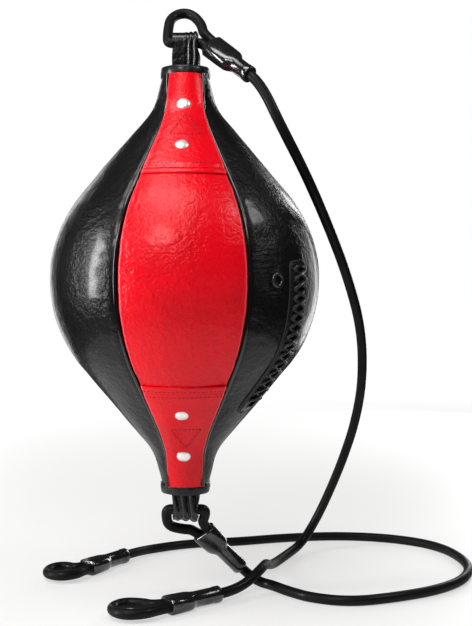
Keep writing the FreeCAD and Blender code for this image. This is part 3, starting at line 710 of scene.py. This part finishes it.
def pleated_strap(axis_z, sign, seed, pleats, twist, depth):
    """A strap of several pleats over the bore axis, its two legs running into the throat."""
    half = 0.0095
    radius = 0.0078
    leg = 0.03
    bm = bmesh.new()
    line = [bm.verts.new((-half + 2 * half * i / 60, radius, 0.0)) for i in range(61)]
    edges = [bm.edges.new(pair) for pair in zip(line, line[1:])]
    crown = bmesh.ops.spin(bm, geom=line + edges, cent=(0, 0, 0), axis=(1, 0, 0), angle=math.pi, steps=26)
    ends = [edges, [g for g in crown["geom_last"] if isinstance(g, bmesh.types.BMEdge)]]
    for side in ends:
        for _ in range(12):
            grown = bmesh.ops.extrude_edge_only(bm, edges=side)
            verts = [g for g in grown["geom"] if isinstance(g, bmesh.types.BMVert)]
            side = [g for g in grown["geom"] if isinstance(g, bmesh.types.BMEdge)]
            bmesh.ops.translate(bm, vec=(0, 0, -leg / 12), verts=verts)
    for vert in bm.verts:
        x, y, z = vert.co
        front = math.copysign(1.0, y) if z < 0 else y / radius
        phase = x / half + twist * (0.5 * z / leg) * front + 0.1 * sway((x * 60, y * 40, z * 60), 1.0, seed)
        rib = abs(math.cos(math.pi * pleats / 2 * phase)) ** 0.6
        weight = 0.75 + 0.5 * noise.noise(Vector((round(phase * pleats / 2) * 3.1, seed, 0)))
        raised = max(depth * rib * weight - 0.0012 + 0.0009 * x / half, -0.0012)
        out = Vector((0, y, z)) if z > 0 else Vector((0, y, 0))
        vert.co += out.normalized() * raised
        vert.co.x *= 0.98 + 0.02 * math.sin(z * 190 + seed) + 0.17 * ease(0.002, 0.014, -z)
        vert.co.x += 0.0006 * ease(0.002, 0.014, -z)
    outwards(bm, Vector((0, 0, -0.01)))
    thicken(bm, 0.0008)
    if sign < 0:
        bmesh.ops.scale(bm, vec=(1, 1, -1), verts=bm.verts)
        bmesh.ops.recalc_face_normals(bm, faces=bm.faces)
    bmesh.ops.translate(bm, vec=(0, 0, axis_z), verts=bm.verts)
    return bm


# ---- cord ends ----

class End:
    """One eye with its clamp, drawn in its own plane from an origin."""

    def __init__(self, origin, v_axis, mouth, lean, tail_side, wide):
        self.origin = Vector(origin)
        self.u = Vector((1.0, 0.0, 0.0))
        self.v = Vector(v_axis).normalized()
        self.mouth = self.at(*mouth)
        angle = math.radians(lean)
        self.away = self.u * math.cos(angle) + self.v * math.sin(angle)
        self.side = (self.v * math.cos(angle) - self.u * math.sin(angle)) * tail_side
        self.wide = wide

    def at(self, u, v):
        return self.origin + self.u * u * MM + self.v * v * MM

    def eye(self, leads, loop):
        """The eye's course, from inside the clamp round the loop and back inside it."""
        tail, live = self.mouth + self.side * 0.004, self.mouth - self.side * 0.004
        course = [tail + self.away * 0.012, tail - self.away * leads[0] * MM]
        course += [self.at(*point) for point in loop]
        return course + [live - self.away * leads[1] * MM, live + self.away * 0.012]


def plane_axis(tilt, way):
    return (0.0, math.sin(math.radians(tilt)), way * math.cos(math.radians(tilt)))


ENDS = {
    "upper_near": End((0, 0, 0), plane_axis(42.0, 1), (20.0, -4.0), -51.1, 1, 0.030),
    "upper_far": End((0, 0, LAID_CLAMP), (0, 1, 0), (-12.4, -30.0), 36.87, -1, 0.022),
    "lower_near": End((0, 0, LOWER_AXIS), plane_axis(28.5, -1), (13.0, 22.0), 51.66, 1, 0.022),
    "lower_far": End((0, 0, LAID_CLAMP), (0, 1, 0), (-87.3, 72.0), 53.84, -1, 0.022),
}
LOOPS = {
    "upper_near": ((15.0, 3.35), [(12.4, 24.0), (4.5, 38.5), (-5.0, 41.0), (-13.0, 33.0), (-14.2, 20.0),
                                  (-14.2, 8.0), (-13.8, 0.0), (-7.0, -0.4), (6.0, -0.4), (12.6, -0.6)]),
    "upper_far": ((7.0, 7.0), [(-28.0, -49.0), (-44.0, -51.0), (-55.0, -37.0), (-47.0, -23.0),
                               (-32.0, -24.0)]),
    "lower_near": ((4.95, 6.4), [(-3.0, 20.0), (-14.0, 16.5), (-15.2, 6.0), (-14.4, -0.2), (-7.0, -0.2),
                                 (8.0, -0.2), (15.6, -0.2), (15.0, 7.0)]),
    "lower_far": ((7.0, 7.0), [(-93.0, 52.5), (-105.0, 46.0), (-118.5, 53.5), (-119.0, 69.0),
                               (-108.0, 78.0)]),
}
BODY_OF = {"upper_near": "upper_eye", "lower_near": "lower_eye", "upper_far": "bag", "lower_far": "bag"}


def clamp_shape(end):
    """The moulded sleeve: a flat oval over two legs, a shoulder, and a round end with a lip."""
    wide, long = end.wide, 0.048
    rings = [(0.0, 0.0082, 0.0052, 3.2), (0.0003, 0.0091, 0.0061, 3.2), (0.0011, 0.0097, 0.0066, 3.2),
             (wide * 0.5, 0.0098, 0.0065, 3.0), (wide - 0.0050, 0.0096, 0.0065, 2.8),
             (wide - 0.0026, 0.0090, 0.0065, 2.5), (wide - 0.0006, 0.0076, 0.0064, 2.2),
             (wide + 0.0010, 0.0067, 0.0063, 2.05), (wide + 0.0022, 0.0064, 0.0062, 2.0),
             (long - 0.0060, 0.0062, 0.0062, 2.0), (long - 0.0052, 0.0065, 0.0065, 2.0),
             (long - 0.0008, 0.0066, 0.0066, 2.0), (long - 0.0002, 0.0063, 0.0063, 2.0),
             (long, 0.0056, 0.0056, 2.0)]
    bm = bmesh.new()
    turn = bm.verts.layers.float.new("turn")
    verts = bmesh.ops.create_circle(bm, segments=48, radius=1.0, cap_ends=True)["verts"]
    for vert in verts:
        vert[turn] = math.atan2(vert.co.y, vert.co.x)
    loop = bm.edges[:]
    for ring in rings:
        if ring is not rings[0]:
            grown = bmesh.ops.extrude_edge_only(bm, edges=loop)["geom"]
            loop = [g for g in grown if isinstance(g, bmesh.types.BMEdge)]
            verts = [g for g in grown if isinstance(g, bmesh.types.BMVert)]
        along, half_side, half_thin, power = ring
        for vert in verts:
            c, s = math.cos(vert[turn]), math.sin(vert[turn])
            vert.co = Vector((half_side * math.copysign(abs(c) ** (2 / power), c),
                              half_thin * math.copysign(abs(s) ** (2 / power), s), along))
    bmesh.ops.contextual_create(bm, geom=loop)
    thin = end.away.cross(end.side)
    turn = Matrix((end.side, thin, end.away)).transposed().to_4x4()
    bmesh.ops.transform(bm, matrix=Matrix.Translation(end.mouth) @ turn, verts=bm.verts)
    bmesh.ops.recalc_face_normals(bm, faces=bm.faces)
    return bm


# ---- cords: the routes' points, in metres, from near clamp to far clamp ----

UPPER_ROUTE = [
    (0.0501, -0.0277, -0.0307), (0.0577, -0.0339, -0.0377), (0.073, -0.039, -0.071), (0.092, -0.023, -0.104),
    (0.112, 0.008, -0.142), (0.130, 0.037, -0.181), (0.145, 0.064, -0.225), (0.1495, 0.090, -0.271),
    (0.146, 0.115, -0.311), (0.137, 0.135, -0.348), (0.125, 0.152, -0.384), (0.113, 0.158, -0.411),
    (0.099, 0.146, -0.429), (0.084, 0.120, -0.432), (0.071, 0.090, -0.432), (0.066, 0.066, -0.425),
    (0.064, 0.048, -0.4195), (0.059, 0.030, -0.4195), (0.048, 0.016, -0.426), (0.0356, 0.0060, -0.4295),
    (0.0260, -0.0012, -0.4295),
]
LOWER_FRONT = [
    (0.0428, 0.0285, -0.4164), (0.0502, 0.0330, -0.4247), (0.059, 0.037, -0.4315), (0.069, 0.030, -0.432),
    (0.080, 0.015, -0.432), (0.098, -0.003, -0.432), (0.128, -0.013, -0.432), (0.165, -0.001, -0.432),
    (0.203, 0.019, -0.432), (0.231, 0.050, -0.432), (0.237, 0.0725, -0.432),
]
LOWER_BACK = [
    (0.237, 0.0725, -0.432), (0.243, 0.095, -0.432), (0.230, 0.150, -0.432), (0.192, 0.180, -0.432),
    (0.140, 0.191, -0.432), (0.085, 0.183, -0.432), (0.040, 0.168, -0.432), (-0.005, 0.161, -0.432),
    (-0.037, 0.141, -0.4315), (-0.0519, 0.1204, -0.4295), (-0.0590, 0.1108, -0.4295),
]


def line_length(points):
    return sum((Vector(b) - Vector(a)).length for a, b in zip(points, points[1:]))


def lay_cord(name, route, diameter, finish, node):
    """A cord's tube along its route's smooth line, and that line's points."""
    line = [v.co.copy() for v in curve_line(name, route).vertices]
    mesh = curve_line(name, route, diameter / 2, sides=8)
    return finish_mesh(name, mesh, finish, None, (node,)), line


# ---- the add-on ----

class BALL_PG_look(bpy.types.PropertyGroup):
    """Sizes and colours of the ball that a user may change."""

    red: bpy.props.FloatVectorProperty(
        name="Red", description="Colour of the red panels", subtype="COLOR", size=3,
        min=0.0, max=1.0, default=(0.68, 0.0016, 0.009))
    black: bpy.props.FloatVectorProperty(
        name="Black", description="Colour of the black panels", subtype="COLOR", size=3,
        min=0.0, max=1.0, default=(0.0045, 0.0043, 0.0045))
    grain: bpy.props.FloatProperty(
        name="Grain", description="Depth of the leather's grain", subtype="FACTOR",
        min=0.0, max=2.0, default=0.8)
    cord: bpy.props.FloatProperty(
        name="Cord", description="Diameter of the elastic cords", subtype="DISTANCE", unit="LENGTH",
        min=0.005, max=0.012, default=0.008)
    lace: bpy.props.FloatProperty(
        name="Lace", description="Thickness of the lace", subtype="DISTANCE", unit="LENGTH",
        min=0.001, max=0.004, default=0.0024)
    lace_pitch: bpy.props.FloatProperty(
        name="Lace Pitch", description="Distance between the lace's crossings", subtype="DISTANCE",
        unit="LENGTH", min=0.004, max=0.02, default=0.0068)
    key_light: bpy.props.FloatProperty(
        name="Key Light", description="Power of the front softbox", subtype="POWER", min=0.0, default=7.2)


class BallOperator:
    """What the add-on's operators share."""

    bl_options = {"REGISTER", "UNDO"}

    def execute(self, context):
        look = context.scene.punching_ball
        self.build(look, finishes(look))
        return {"FINISHED"}


class BALL_OT_stage(BallOperator, bpy.types.Operator):
    """Sets the camera, floor, lights and world."""

    bl_idname = "ball.stage"
    bl_label = "Stage"

    def build(self, look, finish):
        scene = bpy.context.scene
        scene.view_settings.view_transform = "Standard"
        camera = bpy.data.cameras.new("camera")
        camera.sensor_fit = "VERTICAL"
        camera.sensor_height = 36.0
        camera.lens = 58.98
        camera.shift_y = -0.0527
        eye = bpy.data.objects.new("camera", camera)
        scene.collection.objects.link(eye)
        eye.location = (0.0394, -0.8, CENTRE)
        eye.rotation_euler = (math.pi / 2, 0.0, 0.0)
        scene.camera = eye
        near, far = self.ground("near_floor", 0.0, 0.37), self.ground("far_floor", 0.37, 8.0)
        far.visible_glossy = False
        # painted light: the floor glows through its own emission, full white far from the ball and about half
        # as bright within reach of it, standing in for a lit white floor with soft shade round the ball
        pale = Finish("Pale Floor", Roughness=0.6, Emission_Strength=1.0)
        cloud = pale.noise(3.0, 2.0)
        glow_dim_near_ball = pale.near((0.1, 0.0, FLOOR), 0.3, 1.8)
        pale.feed("Base Color", pale.mix(cloud * 0.3, (0.34, 0.34, 0.337), (0.31, 0.31, 0.31)))
        pale.feed("Emission Color", pale.mix(glow_dim_near_ball, (1.0, 1.0, 1.0), (0.54, 0.54, 0.536)))
        for floor in (near, far):
            floor.data.materials.append(pale.material)
        self.softbox("key_softbox", (-21.0, 36.0, 1.3), (0.42, 0.3), look.key_light)
        self.softbox("left_softbox", (-76.0, 8.0, 1.3), (0.18, 0.9), 19.0)
        self.softbox("left_rim_softbox", (-152.0, 4.0, 1.3), (0.3, 0.9), 2.0)
        self.softbox("right_softbox", (76.0, 46.0, 1.3), (0.3, 0.35), 4.0)
        self.softbox("rim_softbox", (149.0, 5.0, 1.2), (0.25, 0.9), 5.5)
        self.softbox("top_softbox", (-35.0, 68.0, 1.3), (0.9, 0.5), 11.0)
        self.sky()

    def ground(self, name, inner, outer):
        """A level ring of floor under the ball, or a disc when it has no inner edge."""
        bm = bmesh.new()
        bmesh.ops.create_circle(bm, segments=96, radius=outer, cap_ends=not inner)
        if inner:
            bmesh.ops.create_circle(bm, segments=96, radius=inner)
            bmesh.ops.bridge_loops(bm, edges=bm.edges)
        bmesh.ops.translate(bm, vec=(0.0, 0.0, FLOOR), verts=bm.verts)
        bmesh.ops.recalc_face_normals(bm, faces=bm.faces)
        mesh = bpy.data.meshes.new(name)
        bm.to_mesh(mesh)
        bm.free()
        ring = bpy.data.objects.new(name, mesh)
        bpy.context.scene.collection.objects.link(ring)
        return ring

    def softbox(self, name, direction, size, power):
        """A lamp aimed at the ball from an azimuth, an elevation and a distance."""
        lamp = bpy.data.lights.new(name, "AREA")
        lamp.shape = "RECTANGLE"
        lamp.size, lamp.size_y = size
        lamp.energy = power
        holder = bpy.data.objects.new(name, lamp)
        bpy.context.scene.collection.objects.link(holder)
        azimuth, elevation, distance = math.radians(direction[0]), math.radians(direction[1]), direction[2]
        level, rise = math.cos(elevation) * distance, math.sin(elevation) * distance
        reach = Vector((math.sin(azimuth) * level, -math.cos(azimuth) * level, rise))
        holder.location = Vector((0.0, 0.0, CENTRE)) + reach
        holder.rotation_euler = (-reach).to_track_quat("-Z", "Y").to_euler()

    def sky(self):
        """A white surround, dimmer in reflections than to the camera."""
        world = bpy.data.worlds.new("surround")
        bpy.context.scene.world = world
        world.use_nodes = True
        nodes, links = world.node_tree.nodes, world.node_tree.links
        back = nodes["Background"]
        back.inputs["Color"].default_value = (1.0, 1.0, 1.0, 1.0)
        path = nodes.new("ShaderNodeLightPath")
        share = nodes.new("ShaderNodeMapRange")
        share.inputs["To Min"].default_value = 0.025
        share.inputs["To Max"].default_value = 1.0
        links.new(path.outputs["Is Camera Ray"], share.inputs["Value"])
        links.new(share.outputs[0], back.inputs["Strength"])


class BALL_OT_cords(BallOperator, bpy.types.Operator):
    """Lays both cords, their eyes and their clamps."""

    bl_idname = "ball.cords"
    bl_label = "Cords"

    def build(self, look, finish):
        rubber = finish["cord"]
        eyes, clamps = {}, {}
        for name, end in ENDS.items():
            leads, loop = LOOPS[name]
            mesh = curve_line(name, end.eye(leads, loop), look.cord / 2, sides=8)
            eyes[name] = finish_mesh(name + "_eye_cord", mesh, rubber, BODY_OF[name],
                                     (name + "_eye",))
            clamps[name] = finish_piece(name + "_sleeve", clamp_shape(end), finish["clamp"], BODY_OF[name],
                                        (name + "_clamp",))
            dress_node(name + "_crimp", finish["steel"])
        upper, line = lay_cord("upper_elastic", UPPER_ROUTE, look.cord, rubber, "upper_cord")
        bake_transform(upper, "upper_eye", "bag", (0, 0, -0.034), (0, 0, -0.21))
        line_length(line)
        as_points(line)
        front, line = lay_cord("lower_elastic_front", LOWER_FRONT, look.cord, rubber, "lower_cord")
        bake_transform(front, "lower_eye", "bag", (0.046, 0, 0), (0.22, 0, 0))
        line_length(line)
        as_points(line)
        back, line = lay_cord("lower_elastic_back", LOWER_BACK, look.cord, rubber, "lower_cord")
        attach(back, "bag")
        line_length(line)
        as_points(line)


class BALL_OT_panels(BallOperator, bpy.types.Operator):
    """Builds the four leather panels, their seams and the throat patches."""

    bl_idname = "ball.panels"
    bl_label = "Panels"

    def build(self, look, finish):
        for side, skin, keep, roll in (("front", "red_panel", None, 0.0005),
                                       ("back", "red_panel", None, 0.0005),
                                       ("left", "black_panel", None, 0.0002),
                                       ("right", "black_panel", outside_slot, 0.0002)):
            panel = gore(side, len(side) * 1.3, keep, roll)
            finish_piece(side + "_panel_leather", panel, finish[skin], "bag", (side + "_panel",))
        for name, corner in (("front_right", (1, 1)), ("back_right", (-1, 1)), ("back_left", (-1, -1)),
                             ("front_left", (1, -1))):
            mesh = curve_line(name, bead(corner), 0.0012, smooth=False, sides=3)
            finish_mesh(name + "_bead", mesh, finish["piping"], "bag", (name + "_piping",))
        threads = bmesh.new()
        for name, azimuth in (("front", TURN), ("back", 180 + TURN)):
            for level, sign in (("top", 1), ("bottom", -1)):
                node = name + "_" + level + "_patch"
                finish_piece(node + "_leather", patch(azimuth, sign), finish["red_patch"], "bag",
                             (node,))
                patch_stitches(threads, azimuth, sign)
        finish_piece("patch_stitches", threads, finish["red_thread"], "bag")


class BALL_OT_rims(BallOperator, bpy.types.Operator):
    """Builds the rim bindings, hanger straps and rivets."""

    bl_idname = "ball.rims"
    bl_label = "Rims and Straps"

    def build(self, look, finish):
        for level, sign in (("top", 1), ("bottom", -1)):
            finish_piece(level + "_rim_band", binding_shape(sign), finish["binding"], "bag",
                         (level + "_binding",))
            caps = bmesh.new()
            for azimuth in (0, 180):
                for height in RIVET_HEIGHTS:
                    rivet_cap(caps, azimuth, sign * height)
            finish_piece(level + "_rivet_caps", caps, finish["nickel"], "bag")
            dress_node(level + "_rivets", finish["nickel"])
        for level, shape in (("top", (0.0, 1, 2.0, 5, 0.5, 0.0021)),
                             ("bottom", (LOWER_AXIS, -1, 7.0, 3, 0.9, 0.0032))):
            finish_piece(level + "_strap_pleats", pleated_strap(*shape), finish["strap"], "bag")
            dress_node(level + "_hanger_strap", finish["strap"])


class BALL_OT_lacing(BallOperator, bpy.types.Operator):
    """Builds the laced opening, the lace and the valve."""

    bl_idname = "ball.lacing"
    bl_label = "Lacing and Valve"

    def build(self, look, finish):
        finish_piece("facing_border", facing_mesh(), finish["facing"], "bag",
                     ("lace_facings",))
        edge = bmesh.new()
        stitch_row(edge, facing_edge(0.0014, 0.0024), 0.0024, 0.00028, 0.5)
        finish_piece("facing_stitches", edge, finish["black_thread"], "bag")
        groove = facing_edge(-0.0005, 0.0012)
        outline = [groove(i / 160) for i in range(160)]
        mesh = curve_line("outline", outline, 0.00055, smooth=False, closed=True, sides=2)
        finish_mesh("facing_welt", mesh, finish["black_thread"], "bag")
        count = int((LACE_TOP - LACE_BOTTOM - 0.012) / look.lace_pitch)
        for strand, phase in (("a", 0), ("b", 1)):
            points = []
            for i in range(count + 1):
                side = 1 if (i + phase) % 2 else -1
                height = LACE_TOP - 0.006 - i * look.lace_pitch
                reach = 0.62 + 0.07 * noise.noise(Vector((i * 1.3, phase, 0)))
                over = 0.0034 + 0.0005 * ((i + phase) % 3)
                points += [on_facing(side * (reach - 0.2), height + 0.0016, over),
                           on_facing(side * (reach + 0.08), height + 0.0003, 0.0031),
                           on_facing(side * reach, height - 0.0014, 0.0022)]
            mesh = curve_line("lace", points, look.lace / 2, sides=3)
            finish_mesh("lace_strand_" + strand, mesh, finish["lace"], "bag", ("lace",))
        dress_node("lace_tongue", finish["lining"])
        dress_node("lining", finish["lining"])
        dress_node("bladder", finish["bladder"])
        dress_node("inflation_valve", finish["valve"])
        self.ring(finish["grommet"])

    def ring(self, finish):
        """The valve's rounded ring, seated in the panel."""
        bm = bmesh.new()
        bmesh.ops.create_circle(bm, segments=20, radius=0.0011)
        bmesh.ops.rotate(bm, cent=(0, 0, 0), matrix=Matrix.Rotation(math.pi / 2, 3, "X"), verts=bm.verts)
        bmesh.ops.scale(bm, vec=(1.0, 1.0, 0.85), verts=bm.verts)
        bmesh.ops.translate(bm, vec=(0.0043, 0.0, 0.0006), verts=bm.verts)
        bmesh.ops.spin(bm, geom=bm.verts[:] + bm.edges[:], cent=(0, 0, 0), axis=(0, 0, 1),
                       angle=2 * math.pi, steps=48, use_merge=True)
        bmesh.ops.remove_doubles(bm, verts=bm.verts, dist=1e-6)
        bmesh.ops.recalc_face_normals(bm, faces=bm.faces)
        bmesh.ops.transform(bm, matrix=wall_seat(VALVE_AZIMUTH, 0.0, 0.0013), verts=bm.verts)
        finish_piece("valve_ring", bm, finish, "bag", ("valve_grommet",))


class BALL_PT_panel(bpy.types.Panel):
    """Lists the ball's sizes, colours and operators."""

    bl_label = "Punching Ball"
    bl_idname = "BALL_PT_panel"
    bl_space_type = "VIEW_3D"
    bl_region_type = "UI"
    bl_category = "Ball"

    def draw(self, context):
        look = context.scene.punching_ball
        for prop in ("red", "black", "grain", "cord", "lace", "lace_pitch", "key_light"):
            self.layout.prop(look, prop)
        for operator in OPERATORS:
            self.layout.operator(operator.bl_idname)


OPERATORS = (BALL_OT_stage, BALL_OT_cords, BALL_OT_panels, BALL_OT_rims, BALL_OT_lacing)
CLASSES = (BALL_PG_look,) + OPERATORS + (BALL_PT_panel,)


def register():
    for cls in CLASSES:
        bpy.utils.register_class(cls)
    bpy.types.Scene.punching_ball = bpy.props.PointerProperty(type=BALL_PG_look)


def unregister():
    del bpy.types.Scene.punching_ball
    for cls in reversed(CLASSES):
        bpy.utils.unregister_class(cls)


def main():
    register()
    bpy.ops.ball.stage()
    bpy.ops.ball.cords()
    bpy.ops.ball.panels()
    bpy.ops.ball.rims()
    bpy.ops.ball.lacing()


if __name__ == "__main__":
    main()
